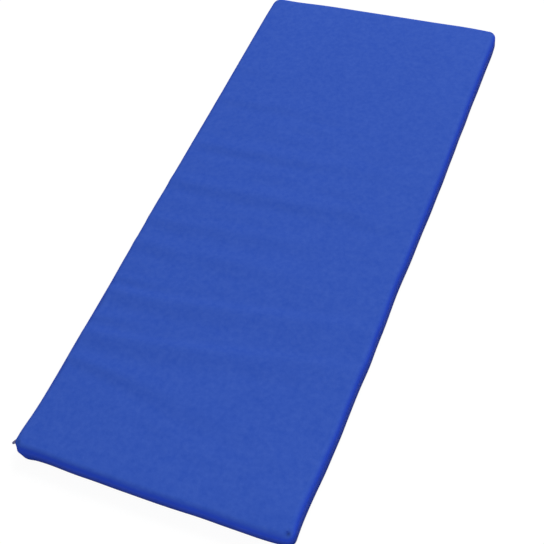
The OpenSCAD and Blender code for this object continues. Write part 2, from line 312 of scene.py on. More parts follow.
class Finish:
    # a material with its Principled shader, and short ways to add nodes to it
    def __init__(self, name, roughness, metallic=0.0):
        self.material = bpy.data.materials.new(name)
        self.material.use_nodes = True
        self.tree = self.material.node_tree
        self.shader = self.tree.nodes["Principled BSDF"]
        self.shader.inputs["Roughness"].default_value = roughness
        self.shader.inputs["Metallic"].default_value = metallic
        self.place = self.tree.nodes.new("ShaderNodeTexCoord")

    def add(self, kind, **links):
        node = self.tree.nodes.new(kind)
        for label, value in links.items():
            self.feed(value, node.inputs[label])
        return node

    def effect(self, group, **values):
        node = self.tree.nodes.new("ShaderNodeGroup")
        node.node_tree = group
        for label, value in values.items():
            self.feed(value, node.inputs[label])
        return node.outputs[0]

    def feed(self, value, socket):
        if isinstance(value, bpy.types.NodeSocket):
            self.tree.links.new(value, socket)
        else:
            socket.default_value = value

    def math(self, operation, *values):
        return mathNode(self.tree, operation, *values)

    def mottled(self, scale, low=0.0, high=1.0):
        return self.effect(mottle, Vector=self.place.outputs["Object"], Scale=scale, Low=low, High=high)

    def ramp(self, value, start=0.0, end=1.0, low=0.0, high=1.0, soft=False):
        node = self.add("ShaderNodeMapRange", Value=value)
        node.interpolation_type = "SMOOTHSTEP" if soft else "LINEAR"
        for label, number in zip(("From Min", "From Max", "To Min", "To Max"), (start, end, low, high)):
            node.inputs[label].default_value = number
        return node.outputs[0]

    def mix(self, share, first, second, blend="MIX"):
        node = self.add("ShaderNodeMix", Factor=share)
        node.data_type = "RGBA"
        node.blend_type = blend
        self.feed(first, pickBySocket(node, "A", "RGBA"))
        self.feed(second, pickBySocket(node, "B", "RGBA"))
        return next(o for o in node.outputs if o.type == "RGBA")

    def tint(self, colour, shade):
        return self.mix(1.0, colour, shade, "MULTIPLY")

    def bump(self, height, strength, distance, under=None):
        node = self.add("ShaderNodeBump", Height=height, Strength=strength, Distance=distance)
        if under:
            self.tree.links.new(under, node.inputs["Normal"])
        return node.outputs[0]

    def set(self, label, value):
        self.feed(value, self.shader.inputs[label])


coverCloth = {
    "sheenedTopBlue": (0.0295, 0.0860, 0.465, 1.0),  # the top's blue, painted paler than the walls' to stand in for its sheen
    "fadeTint": (0.0440, 0.1080, 0.497, 1.0),  # paler flecks in it
    "wallBlue": (0.0215, 0.065, 0.545, 1.0),
    "sheenFrom": 0.5,  # slope of the cloth, by its normal, from which its colour turns into the top's, with its painted sheen
    "sheenTo": 0.99,
    "fleckScale": 96.0,
    "cloudScale": 48.0,
    "cloudShare": 0.45,  # share of these wider clouds among the flecks
    "broadScale": 5.0,
    "broadShade": 0.01,
    "pitPaintedShade": 0.55,  # painted shade in the sewn pits
    "footShade": 0.28,  # painted shade at the foot of the walls, darker towards the floor
    "footHeight": 0.038,
    "baseShade": 0.6,  # and painted shade on the base, less deep than at the foot
    "baseFrom": -0.7,
    "baseTo": -0.98,
    "roughness": 0.62,
    "roughSpread": 0.03,
    "roughScale": 24.0,
    "gloss": 0.02,
    "grain": (0.25, 0.0004),  # strength and depth of the flecks in relief
    "weave": (0.18, 0.0001),  # and of the threads
    "threadPitch": 0.0007,
    "thickness": 0.0003,
}


def makeCoverFinish(s):
    f = Finish("coatedCoverCloth", s["roughness"])
    up = f.add("ShaderNodeSeparateXYZ", Vector=f.place.outputs["Normal"]).outputs["Z"]
    height = f.add("ShaderNodeSeparateXYZ", Vector=f.place.outputs["Object"]).outputs["Z"]
    fine = f.mottled(s["fleckScale"])
    clouds = f.math("MULTIPLY", f.mottled(s["cloudScale"]), s["cloudShare"])
    flecks = f.math("ADD", f.math("MULTIPLY", fine, 1 - s["cloudShare"]), clouds)
    sheenedTops = f.mix(flecks, s["sheenedTopBlue"], s["fadeTint"])
    # walls in a deeper blue, the top painted paler as sheen, by the slope of the cloth
    sheenedBlues = f.mix(f.ramp(up, s["sheenFrom"], s["sheenTo"], soft=True), s["wallBlue"], sheenedTops)
    broad = f.mottled(s["broadScale"], 1 - s["broadShade"], 1 + s["broadShade"])
    pit = f.add("ShaderNodeAttribute")
    pit.attribute_name = "pit"
    # painted shade in the pits where the darts end
    shade = f.math("MULTIPLY", broad, f.ramp(pit.outputs["Fac"], low=1.0, high=s["pitPaintedShade"]))
    # painted shade: darker towards the floor, less so on the base
    foot = f.ramp(height, end=s["footHeight"], low=s["footShade"], soft=True)
    under = f.ramp(up, s["baseFrom"], s["baseTo"], high=s["baseShade"])
    paintedFootShade = f.math("MAXIMUM", foot, under)
    f.set("Base Color", f.tint(sheenedBlues, f.math("MULTIPLY", shade, paintedFootShade)))
    rough = [s["roughness"] + sign * s["roughSpread"] for sign in (-1, 1)]
    f.set("Roughness", f.mottled(s["roughScale"], *rough))
    weave = f.effect(plainWeave, Vector=f.place.outputs["UV"], Pitch=s["threadPitch"])
    f.set("Normal", f.bump(weave, *s["weave"], f.bump(fine, *s["grain"])))
    f.set("Specular IOR Level", s["gloss"])
    return f.material


coverFinish = makeCoverFinish(coverCloth)
print("cover finish made")

# Wrinkles across the top, as low ridges that start at the left edge:
# place of the crest at the left edge and at its right end, how far it reaches, its height and the
# widths of its far and near flanks
crossRidges = [
    {"left": 0.425, "right": 0.405, "reach": 0.30, "height": 0.0006, "far": 0.018, "near": 0.016},
    {"left": 0.306, "right": 0.326, "reach": 0.46, "height": 0.0010, "far": 0.020, "near": 0.014},
    {"left": 0.152, "right": 0.180, "reach": 0.66, "height": 0.0013, "far": 0.020, "near": 0.014},
    {"left": 0.029, "right": 0.052, "reach": 0.72, "height": 0.0022, "far": 0.020, "near": 0.017},
    {"left": -0.090, "right": -0.050, "reach": 0.60, "height": 0.0016, "far": 0.016, "near": 0.016},
    {"left": -0.162, "right": -0.154, "reach": 0.64, "height": 0.0018, "far": 0.016, "near": 0.018},
    {"left": -0.264, "right": -0.256, "reach": 0.20, "height": 0.0014, "far": 0.010, "near": 0.009},
    {"left": -0.300, "right": -0.222, "reach": 0.80, "height": 0.0032, "far": 0.012, "near": 0.022},
    {"left": -0.368, "right": -0.352, "reach": 0.18, "height": 0.0014, "far": 0.010, "near": 0.009},
    {"left": -0.412, "right": -0.318, "reach": 0.78, "height": 0.0033, "far": 0.011, "near": 0.022},
    {"left": -0.479, "right": -0.496, "reach": 0.30, "height": 0.0015, "far": 0.012, "near": 0.010},
    {"left": -0.480, "right": -0.530, "reach": 0.60, "height": 0.0014, "far": 0.021, "near": 0.018},
]
softForm = {
    "startShare": 0.7,  # height of a ridge at the left edge, as a share of its full height
    "startRun": 0.06,  # distance over which it grows
    "fallFrom": 0.2,  # share of its reach from which it fades
    "widening": 0.9,  # how much wider it gets along its reach
    "troughShare": 0.45,  # trough on the near side of a ridge
    "troughStep": 1.7,  # how far away the trough lies, in widths of the near flank
    "troughWidth": 1.1,
    "waveCount": 5,  # crossed waves in an unevenness
    "sway": 0.0005,  # broad unevenness of the foam
    "swayWave": (0.31, 3),  # length and seed
    "pucker": 0.0005,  # unevenness of the walls
    "puckerWaves": [(0.085, 5), (0.19, 8)],
    "calmRun": 0.04,  # distance from the near left corner over which it grows
    "topFrom": 0.2,  # slope of the cloth, by its normal, from which it moves as the top does
    "topRun": 0.7,
    "wallFade": 0.6,  # darts and puffs fade over this share of the turn from wall to top
    "seamShare": 0.8,  # share of the base edge over which the cloth comes free of the seam
    "dartDepth": 0.0006,  # sewn dart down each corner
    "dartWidth": 0.0013,
    "dartDimple": 0.0016,  # pit where a dart ends at the top
    "dimpleWidth": 0.0052,
    "nearRightDimple": 0.0032,  # the deepest one
    "pitInset": 0.3,  # how far in the pits lie, as a share of the top edge
    "pitReach": 0.5,  # and how far from the corner's centre, as a share of its radius there
    "pitDrop": 0.0012,
    "footPuff": 0.0038,  # the near left corner stands out at its foot
    "footWidth": 0.012,
    "footAcross": 0.025,  # from the left wall to the middle of that foot
    "footUp": 0.014,
    "cornerPuff": 0.0044,  # and above it, beside the tab
    "cornerWidth": 0.0105,
    "cornerAcross": 0.005,  # from the left wall
    "cornerAlong": 0.003,  # from the near wall
    "cornerUp": 0.026,
    "holdDepth": 0.003,  # cloth beside the zip stays put this far from it
    "holdFade": 0.010,
    "leanRun": 0.080,  # how far into the mat a leaning wall carries its neighbours
    "leanFrom": 0.0016,  # the left wall leans only above the stitches of its hem
    "leanRise": 0.007,
    "nearSag": 0.0045,  # the top sinks towards its near edge, most at the right
    "sagRun": 0.055,
    "sagFrom": 0.030,  # height from which it sinks
}
# Where the walls stand out or in: the place along the wall, how far it spreads, and how far out it is
wallLeans = [
    {"side": "left", "at": 0.690, "spread": 0.040, "out": -0.0028},
    {"side": "left", "at": 0.300, "spread": 0.160, "out": -0.0014},
    {"side": "left", "at": -0.050, "spread": 0.050, "out": 0.0012},
    {"side": "left", "at": -0.330, "spread": 0.085, "out": -0.0042},
    {"side": "left", "at": -0.520, "spread": 0.060, "out": -0.0026},
    {"side": "left", "at": -0.675, "spread": 0.050, "out": 0.0054},
    {"side": "right", "at": 0.700, "spread": 0.030, "out": -0.0016},
    {"side": "right", "at": 0.470, "spread": 0.070, "out": -0.0010},
    {"side": "right", "at": 0.200, "spread": 0.110, "out": 0.0012},
    {"side": "right", "at": -0.105, "spread": 0.045, "out": -0.0021},
    {"side": "right", "at": -0.290, "spread": 0.060, "out": 0.0011},
    {"side": "right", "at": -0.460, "spread": 0.040, "out": 0.0012},
    {"side": "right", "at": -0.630, "spread": 0.070, "out": -0.0046},
    {"side": "near", "at": -0.240, "spread": 0.040, "out": -0.0016},
    {"side": "near", "at": 0.030, "spread": 0.060, "out": 0.0009},
    {"side": "near", "at": 0.220, "spread": 0.050, "out": 0.0024},
    {"side": "far", "at": -0.235, "spread": 0.060, "out": -0.0034},
    {"side": "far", "at": 0.225, "spread": 0.070, "out": 0.0028},
]


def smooth(x):
    x = np.clip(x, 0, 1)
    return x * x * (3 - 2 * x)


def ridgeLift(x, y):
    lift = np.zeros_like(x)
    along = x + halfWidth
    grow = softForm["startShare"] + (1 - softForm["startShare"]) * smooth(along / softForm["startRun"])
    for ridge in crossRidges:
        share = np.clip(along / ridge["reach"], 0, 1)
        crest = ridge["left"] + (ridge["right"] - ridge["left"]) * smooth(share)
        fall = 1 - smooth((along / ridge["reach"] - softForm["fallFrom"]) / (1 - softForm["fallFrom"]))
        flank = np.where(y > crest, ridge["far"], ridge["near"])
        t = (y - crest) / (flank * (1 + softForm["widening"] * share))
        beside = (t + softForm["troughStep"]) / softForm["troughWidth"]
        shape = np.exp(-t * t) - softForm["troughShare"] * np.exp(-beside ** 2)
        lift += ridge["height"] * grow * fall * shape
    return lift


def wave(x, y, length, seed):
    # soft unevenness from a few crossed waves
    rng = np.random.default_rng(seed)
    count = softForm["waveCount"]
    total = np.zeros_like(x)
    for turn, phase in zip(rng.uniform(0, math.pi, count), rng.uniform(0, 2 * math.pi, count)):
        total += np.sin((x * math.cos(turn) + y * math.sin(turn)) * 2 * math.pi / length + phase)
    return total / count


# The top cloth, a little too long for the foam, settles between its rims in a cloth simulation
settling = {
    "acrossCells": 56,
    "alongCells": 136,
    "hold": 0.3,  # how firmly the foam under it holds the cloth
    "rimGap": 0.004,
    "rimRun": 0.05,  # from the sewn rim to where it is free
    "calmFrom": 0.26,  # beyond here the cloth lies ever tighter
    "tightRun": 0.2,
    "spare": 0.004,  # share of spare cloth
    "mass": 0.005,
    "stretch": 80.0,
    "shear": 20.0,
    "bend": 5.0,
    "quality": 5,
    "frames": 20,
    "blurAcross": 2.2,  # in cells
    "blurAlong": 0.8,
    "limit": 0.0012,  # cap on the movement
    "endGap": 0.001,  # the result is read up to here before the end of its grid, in cells
}


def blurred(grid, reach, axis):
    # mean over the neighbours along one axis, with bell-shaped weights
    steps = np.arange(-math.ceil(3 * reach), math.ceil(3 * reach) + 1)
    weights = np.exp(-0.5 * (steps / reach) ** 2)
    weights /= weights.sum()
    edge = [(len(steps) // 2,) * 2 if k == axis else (0, 0) for k in (0, 1)]
    padded = np.pad(grid, edge, mode="edge")
    return np.apply_along_axis(np.convolve, axis, padded, weights, mode="valid")


def addCloth(holder, s):
    cloth = holder.modifiers.new("settling", "CLOTH")
    cloth.settings.quality = s["quality"]
    cloth.settings.mass = s["mass"]
    cloth.settings.tension_stiffness = s["stretch"]
    cloth.settings.compression_stiffness = s["stretch"]
    cloth.settings.shear_stiffness = s["shear"]
    cloth.settings.bending_stiffness = s["bend"]
    cloth.settings.vertex_group_mass = "held"
    cloth.settings.shrink_min = -s["spare"]
    cloth.settings.effector_weights.gravity = 0
    cloth.collision_settings.use_collision = False
    cloth.point_cache.frame_start = 1
    cloth.point_cache.frame_end = s["frames"]


def settleTop(s):
    # height that the settled cloth gains or loses, on a coarse grid over the top
    x = np.linspace(-1, 1, s["acrossCells"] + 1) * (halfWidth - matForm["topEdge"])
    y = np.linspace(-1, 1, s["alongCells"] + 1) * (halfLength - matForm["topEdge"])
    gridX, gridY = (g.ravel() for g in np.meshgrid(x, y, indexing="ij"))
    start = np.column_stack([gridX, gridY, crownHeight(gridX, gridY) + ridgeLift(gridX, gridY)])
    holder = linked(meshFrom("topSheet", start, gridFaces(len(x), len(y))))
    rim = np.minimum(x[-1] - np.abs(gridX), y[-1] - np.abs(gridY))
    free = smooth((rim - s["rimGap"]) / s["rimRun"]) * (1 - smooth((gridY - s["calmFrom"]) / s["tightRun"]))
    held = np.round(1 - (1 - s["hold"]) * free, 2)  # so that points with like weights go together
    group = holder.vertex_groups.new(name="held")
    for weight in np.unique(held):
        group.add(np.flatnonzero(held == weight).tolist(), float(weight), "REPLACE")
    addCloth(holder, s)
    for k in range(1, s["frames"] + 1):
        scene.frame_set(k)
    settled = holder.evaluated_get(bpy.context.evaluated_depsgraph_get())
    move = (vertexValues(settled.data, "co")[:, 2] - start[:, 2]).reshape(len(x), len(y))
    scene.frame_set(1)
    bpy.data.objects.remove(holder)
    move = blurred(blurred(move, s["blurAcross"], 0), s["blurAlong"], 1)
    return x, y, np.clip(move, -s["limit"], s["limit"])


settledX, settledY, settledMove = settleTop(settling)
print("top cloth settled:", np.round(settledMove.std() * 1000, 3), "mm")


def settledLift(x, y):
    # the settled cloth, read between the points of its grid
    i, j = (
        np.clip((v - g[0]) / (g[1] - g[0]), 0, len(g) - 1 - settling["endGap"])
        for v, g in ((x, settledX), (y, settledY))
    )
    a, b = i.astype(int), j.astype(int)
    u, v = i - a, j - b
    near = (1 - u) * settledMove[a, b] + u * settledMove[a + 1, b]
    far = (1 - u) * settledMove[a, b + 1] + u * settledMove[a + 1, b + 1]
    return (1 - v) * near + v * far


def topLift(x, y):
    return ridgeLift(x, y) + softForm["sway"] * wave(x, y, *softForm["swayWave"]) + settledLift(x, y)


def bell(points, place, width):
    return np.exp(-(np.linalg.norm(points - place, axis=1) / width) ** 2)


cornerCentre = np.array([halfWidth, halfLength]) - matForm["cornerRadius"]  # of the far right corner


def cornerPits():
    # where the darts end, by the signs of x and y at that corner
    reach = matForm["cornerRadius"] - softForm["pitInset"] * matForm["topEdge"]
    x, y = cornerCentre + softForm["pitReach"] * reach
    z = edgeHeight - softForm["pitDrop"]
    return {(sx, sy): np.array([sx * x, sy * y, z]) for sx in (-1, 1) for sy in (-1, 1)}


def pitMask(points):
    # 1 in the deepest pit, less in the others, 0 away from them
    mask = np.zeros(len(points))
    for corner, pit in cornerPits().items():
        depth = softForm["nearRightDimple"] if corner == (1, -1) else softForm["dartDimple"]
        mask += depth / softForm["nearRightDimple"] * bell(points, pit, softForm["dimpleWidth"])
    return mask


def cornerShift(points, upness):
    # darts down the four corners with a pit at their tops, and the full foot of the near left corner
    local = np.abs(points[:, :2]) - cornerCentre
    arc = (np.arctan2(local[:, 1], local[:, 0]) - math.pi / 4) * matForm["cornerRadius"]
    wall = smooth((1 - upness) / softForm["wallFade"])
    dart = softForm["dartDepth"] * np.exp(-(arc / softForm["dartWidth"]) ** 2) * wall
    shift = np.where((local > 0).all(axis=1), -dart, 0.0)
    shift -= softForm["nearRightDimple"] * pitMask(points)
    nearLeft = np.array([-halfWidth, -halfLength, 0.0])
    foot = nearLeft + [softForm["footAcross"], 0.0, softForm["footUp"]]
    beside = nearLeft + [softForm["cornerAcross"], softForm["cornerAlong"], softForm["cornerUp"]]
    shift += softForm["footPuff"] * bell(points, foot, softForm["footWidth"]) * wall
    return shift + softForm["cornerPuff"] * bell(points, beside, softForm["cornerWidth"]) * wall


def zipHold(points):
    # 1 along the wall that holds the zip, falling to 0 above it, beyond its ends and away from the wall
    x, y, z = points.T
    inward = smooth((x + halfWidth - softForm["holdDepth"]) / softForm["holdFade"])
    above = smooth((z - slotHigh - softForm["holdDepth"]) / softForm["holdFade"])
    beyond = smooth((np.abs(y) - openHalf - softForm["holdDepth"]) / softForm["holdFade"])
    return (1 - inward) * (1 - above) * (1 - beyond)


def softShift(points, upness, loopLength):
    # how far each point of the cover stands off the plain form, along its normal
    x, y, z = points.T
    side = softForm["pucker"] * sum(wave(loopLength, z, *form) for form in softForm["puckerWaves"])
    side *= smooth(np.minimum(loopLength, loopRound - loopLength) / softForm["calmRun"])
    shift = upness * topLift(x, y) + (1 - upness) * side + cornerShift(points, upness)
    fromSeam = smooth(z / (softForm["seamShare"] * baseEdge))  # the seam under the mat stays put
    return shift * (1 - zipHold(points)) * fromSeam


def leanShift(points):
    # how far the leaning walls and the sagging near edge carry each point of the cloth and the foam
    x, y, z = points.T
    depth = {"left": x + halfWidth, "right": halfWidth - x, "near": y + halfLength, "far": halfLength - y}
    free = 1 - zipHold(points)
    aboveHem = smooth((z - flatTop - softForm["leanFrom"]) / softForm["leanRise"])
    shift = np.zeros_like(points)
    for lean in wallLeans:
        side = lean["side"]
        axis, along = (1, x) if side in ("near", "far") else (0, y)
        sign = 1 if side in ("right", "far") else -1
        share = np.exp(-((along - lean["at"]) / lean["spread"]) ** 2)
        share *= 1 - smooth(depth[side] / softForm["leanRun"])
        share *= aboveHem if side == "left" else free
        shift[:, axis] += sign * lean["out"] * share
    sag = (1 - np.clip(depth["near"] / softForm["sagRun"], 0, 1)) ** 2 * depth["left"] / (2 * halfWidth)
    sag *= smooth((z - softForm["sagFrom"]) / (edgeHeight - softForm["sagFrom"]))
    shift[:, 2] -= softForm["nearSag"] * sag
    return shift


# The cover: top, walls, a folded hem along the zip and a turned seam under the mat
coverForm = {
    "topSteps": 9,  # rings round the top edge, beside the zip, below it and round the base edge
    "slotSteps": 3,
    "wallSteps": 3,
    "baseSteps": 5,
    "hemDepth": 0.0008,  # from the outer face of a folded hem to its inner face
    "hemWidth": 0.006,
    "hemFold": [(0.12, 0.12), (0.5, 0.0), (0.88, 0.12), (1.0, 0.5)],  # its section, in hem depths
    "seamTurn": 0.0006,  # how far each side of the seam under the mat is turned in
    "seamFold": [(0.6, 0.3), (0.9, 1.0)],  # its section, in turns
}
acrossStations = stations(matForm["acrossCells"], matForm["cornerCells"])
alongStations = stations(matForm["alongCells"], matForm["cornerCells"])
loopCount = 2 * (len(acrossStations) + len(alongStations) - 2)
leftFirst = 2 * (len(acrossStations) - 1) + len(alongStations) - 1
onLeft = np.append(np.arange(leftFirst, loopCount), 0)
plainLoop = loopPoints(acrossStations, alongStations, matForm["topEdge"])
loopSteps = np.linalg.norm(np.diff(plainLoop, axis=0, append=plainLoop[:1]), axis=1)
loopLengths = np.concatenate([[0], np.cumsum(loopSteps)[:-1]])
loopRound = loopSteps.sum()
topRings = arcRings(matForm["topEdge"], flatTop, 90, 0, coverForm["topSteps"])
baseRings = arcRings(baseEdge, baseEdge, 0, -90, coverForm["baseSteps"])


def hemRings(edge, up):
    # round a folded edge from its outer face to the end of its inner one; up is 1 or -1
    depth = coverForm["hemDepth"]
    fold = [(a * depth, edge + up * b * depth) for a, b in coverForm["hemFold"]]
    return fold + [(depth, edge + up * coverForm["hemWidth"])]


def seamRings(sign):
    # edge of a panel turned up into the seam under the mat; sign is 1 for the cover and -1 for the base
    turn = coverForm["seamTurn"]
    return [(baseEdge + turn * (1 - sign * (1 - a)), turn * b) for a, b in coverForm["seamFold"]]


hemStart = 0.5 * coverForm["hemDepth"]
upperRings = topRings + wallRings(flatTop, slotHigh + hemStart, 1)[1:]
upperHem = hemRings(slotHigh, 1)
lowerHem = hemRings(slotLow, -1)[::-1]
lowerRings = wallRings(slotLow - hemStart, baseEdge, coverForm["wallSteps"]) + baseRings[1:]
facingRings = lowerHem + lowerRings + seamRings(1)
coverRings = upperRings + wallRings(slotHigh, slotLow, coverForm["slotSteps"]) + lowerRings + seamRings(1)


def loopRings(across, along, rings):
    return [atHeight(loopPoints(across, along, inset), z) for inset, z in rings]


def ringPoints(rings, pick):
    return np.concatenate([ring[pick] for ring in loopRings(acrossStations, alongStations, rings)])


def runLengths(rings):
    return np.concatenate([[0], np.cumsum(np.linalg.norm(np.diff(rings, axis=0), axis=1))])


def patchBorder(nx, ny):
    index = rowIndex(nx, ny)
    return np.concatenate([index[:-1, 0], index[-1, :-1], index[:0:-1, -1], index[0, :0:-1]])


def coverGrid():
    # points of the plain cover, its quads, the place of each point on the flat cut and along the wall
    nx, ny = len(acrossStations), len(alongStations)
    patch = patchPoints(acrossStations, alongStations, matForm["topEdge"]).reshape(-1, 2)
    top = np.column_stack([patch, edgeHeight + crownHeight(patch[:, 0], patch[:, 1])])
    everywhere = np.arange(loopCount)
    rings = coverRings[1:] + upperHem
    points = np.concatenate([top, ringPoints(rings, everywhere)])
    rows = [patchBorder(nx, ny), *rowIndex(len(rings), loopCount, nx * ny)]
    shared = len(upperRings)
    walls = rows[:len(coverRings)]
    hem = [walls[shared - 1], *rows[len(coverRings):]]
    faces = gridFaces(nx, ny) + bandFaces(walls[:shared], everywhere)
    faces += bandFaces(walls[shared - 1:], everywhere[:leftFirst]) + bandFaces(hem, everywhere[leftFirst:])
    outward = loopPoints(acrossStations, alongStations, 0.0) - plainLoop
    outward /= np.linalg.norm(outward, axis=1)[:, None]
    drops = np.append(runLengths(coverRings)[1:], runLengths(upperRings + upperHem)[shared:])
    flat = np.concatenate([patch] + [plainLoop + outward * d for d in drops])
    return points, faces, flat, np.concatenate([np.zeros(nx * ny), np.tile(loopLengths, len(rings))])


def softenCloth(mesh, around):
    # moves each point of a panel off its plain form, by the same rule for all of them
    points, normals = vertexValues(mesh, "co"), vertexValues(mesh, "normal")
    # the pits' mask, kept for the painted shade in the cover's colour
    pitShadeMask = mesh.attributes.new("pit", "FLOAT", "POINT")
    pitShadeMask.data.foreach_set("value", pitMask(points).astype(np.float32))
    upness = smooth((normals[:, 2] - softForm["topFrom"]) / softForm["topRun"])
    points += normals * softShift(points, upness, around)[:, None]
    points += leanShift(points)
    mesh.vertices.foreach_set("co", points.astype(np.float32).ravel())
    mesh.update()


def addPanel(mesh):
    return thicken(addPiece(mesh, coverFinish), coverCloth["thickness"])


def makeCover():
    points, faces, flat, around = coverGrid()
    mesh = meshFrom("coverTop", points, faces, flat)
    softenCloth(mesh, around[np.unique(np.concatenate(faces))])
    return addPanel(mesh)


coverTop = makeCover()
standIn(coverTop, "cover_top", "cover")
print("cover made:", len(coverTop.data.polygons), "faces")

# Lower pieces of the cover: facing under the zip, tabs over its ends and the base
panelForm = {
    "tabRun": 0.008,  # straight part of a tab
    "tabCells": 5,
    "tabRows": 6,
    "foldWidth": 0.003,  # folded in along the free edge of a tab
    "foldStep": 0.0004,
    "baseAcross": 28,
    "baseAlong": 68,
    "baseCorner": 3,
}
wallRun = halfLength - matForm["cornerRadius"]


def makeFacing():
    points = ringPoints(facingRings, onLeft)
    faces = gridFaces(len(facingRings), len(onLeft))
    flat = np.column_stack([np.repeat(runLengths(facingRings), len(onLeft)), points[:, 1]])
    mesh = meshFrom("zipFacing", points, faces, flat)
    softenCloth(mesh, np.tile(loopLengths[onLeft], len(facingRings)))
    return addPanel(mesh)


def makeTab(name, end):
    # end is -1 for the near end and 1 for the far end; its free edge is folded in
    depth, start = coverForm["hemDepth"], openHalf / wallRun
    back, step = (start + panelForm[k] / wallRun for k in ("foldWidth", "foldStep"))
    run = np.linspace(start, 1, panelForm["tabCells"])[1:-1]
    corner = stations(1, matForm["cornerCells"])[-matForm["cornerCells"] - 1:]
    columns = [(back, depth), (step, depth), (start, 0.5 * depth), (step, 0.0)]
    columns += [(s, 0.0) for s in np.concatenate([run, corner])]
    heights = np.linspace(slotHigh, slotLow, panelForm["tabRows"])
    outline = np.concatenate([edgePoints("left", end * np.array([s]), inset) for s, inset in columns])
    points = np.concatenate([atHeight(outline, z) for z in heights])
    quads = gridFaces(len(heights), len(columns))
    flat = np.column_stack([np.repeat(heights, len(columns)), np.tile(runLengths(outline), len(heights))])
    mesh = meshFrom(name, points, quads if end < 0 else flipped(quads), flat)
    lengths = np.append(loopLengths[onLeft][:-1], loopRound)[::-1]
    softenCloth(mesh, np.interp(points[:, 1], alongStations * wallRun, lengths))
    return addPanel(mesh)


def makeBase():
    corner = panelForm["baseCorner"]
    across, along = stations(panelForm["baseAcross"], corner), stations(panelForm["baseAlong"], corner)
    nx, ny = len(across), len(along)
    border = patchBorder(nx, ny)
    turned = seamRings(-1)
    inner = patchPoints(across, along, turned[0][0] + coverForm["seamTurn"]).reshape(-1, 2)
    points = np.concatenate([atHeight(inner, 0.0), *loopRings(across, along, turned)])
    flat = points[:, :2].copy()
    points += leanShift(points)
    rows = [border, *rowIndex(len(turned), len(border), nx * ny)]
    faces = flipped(gridFaces(nx, ny) + bandFaces(rows, range(len(border))))
    return addPanel(meshFrom("basePanel", points, faces, flat))


zipFacing = makeFacing()
nearZipTab = makeTab("nearZipTab", -1)
farZipTab = makeTab("farZipTab", 1)
basePanel = makeBase()
for piece, node in (
    (zipFacing, "zip_facing"), (nearZipTab, "near_zip_tab"),
    (farZipTab, "far_zip_tab"), (basePanel, "base_panel"),
):
    standIn(piece, node, "cover")
print("lower panels made")

# Foam core: a soft sheet over a firm one, pressed in behind the zip
foamForm = {
    "acrossCells": 56,
    "alongCells": 136,
    "cornerCells": 3,
    "topSteps": 5,  # rings round the top edge, down the walls of both sheets and round the base edge
    "softSteps": 4,
    "firmSteps": 3,
    "baseSteps": 4,
    "inset": 0.0011,  # from the cover's outer face
    "slack": 0.0008,  # more room under the wrinkles of the top
    "cornerSqueeze": 0.0036,  # the corners are pressed in by the darts
    "squeezeWidth": 0.014,
    "reliefDepth": 0.0036,  # pressed in behind the zip
    "reliefHalf": 0.0096,
    "reliefBlend": 0.004,
    "softYellow": (0.72, 0.66, 0.47, 1.0),
    "firmGrey": (0.17, 0.175, 0.19, 1.0),
    "shade": (60.0, 0.86, 1.08),  # scale, darkest and palest
    "cellSize": 0.0016,
    "cellRelief": (0.5, 0.0005),  # strength and depth
    "roughness": 0.95,
    "gloss": 0.1,
}


def makeFoamFinish(name, colour, s):
    f = Finish(name, s["roughness"])
    cells = f.add("ShaderNodeTexVoronoi", Vector=f.place.outputs["Object"], Scale=1 / s["cellSize"])
    f.set("Base Color", f.tint(colour, f.mottled(*s["shade"])))
    f.set("Normal", f.bump(cells.outputs["Distance"], *s["cellRelief"]))
    f.set("Specular IOR Level", s["gloss"])
    return f.material


def pressFoam(points, s):
    # the foam gives way to the darts at the corners, to the leaning walls and to the zip
    for pit in cornerPits().values():
        squeeze = s["cornerSqueeze"] * bell(points, pit, s["squeezeWidth"])
        points -= squeeze[:, None] * [np.sign(pit[0]), np.sign(pit[1]), 1.0]
    points += leanShift(points)
    off = np.abs(points[:, 2] - zipHeight) - s["reliefHalf"]
    press = s["reliefDepth"] * (1 - smooth(off / s["reliefBlend"]))
    wall = -halfWidth + s["inset"]
    points[:, 0] = np.maximum(points[:, 0], wall + press * (np.abs(points[:, 1]) < wallRun))


def makeFoam(name, rings, lift, material, s):
    across, along = (stations(s[k], s["cornerCells"]) for k in ("acrossCells", "alongCells"))
    nx, ny = len(across), len(along)
    border = patchBorder(nx, ny)
    inner = rings[1:-1]
    top, base = (
        atHeight(patchPoints(across, along, inset).reshape(-1, 2), z) for inset, z in (rings[0], rings[-1])
    )
    if lift:
        x, y = top[:, 0], top[:, 1]
        top[:, 2] += crownHeight(x, y) + topLift(x, y) - s["slack"]
    points = np.concatenate([top, base, *loopRings(across, along, inner)])
    rows = [border, *rowIndex(len(inner), len(border), 2 * nx * ny), nx * ny + border]
    under = bandFaces(rowIndex(nx, ny, nx * ny), range(ny - 1))
    faces = gridFaces(nx, ny) + flipped(under) + bandFaces(rows, range(len(border)))
    pressFoam(points, s)
    return addPiece(meshFrom(name, points, faces), material)


def coreRings(rings):
    # the same rings, set in from the cover
    return [(inset + foamForm["inset"], z) for inset, z in rings]


coreTop, coreBase = matForm["topEdge"] - foamForm["inset"], baseEdge - foamForm["inset"]
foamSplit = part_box("foam_firm_sheet")[1].z
softRings = arcRings(coreTop, flatTop, 90, 0, foamForm["topSteps"])
softRings += wallRings(flatTop, foamSplit, foamForm["softSteps"])[1:]
firmRings = wallRings(foamSplit, baseEdge, foamForm["firmSteps"])
firmRings += arcRings(coreBase, baseEdge, 0, -90, foamForm["baseSteps"])[1:]
paleFoam = makeFoamFinish("paleFoam", foamForm["softYellow"], foamForm)
greyFoam = makeFoamFinish("greyFoam", foamForm["firmGrey"], foamForm)
softFoam = makeFoam("softFoam", coreRings(softRings), True, paleFoam, foamForm)
firmFoam = makeFoam("firmFoam", coreRings(firmRings), False, greyFoam, foamForm)
for piece, node, slot in (
    (softFoam, "foam_soft_sheet", "foam_soft"), (firmFoam, "foam_firm_sheet", "foam_firm"),
):
    standIn(piece, node, slot)
print("foam made")

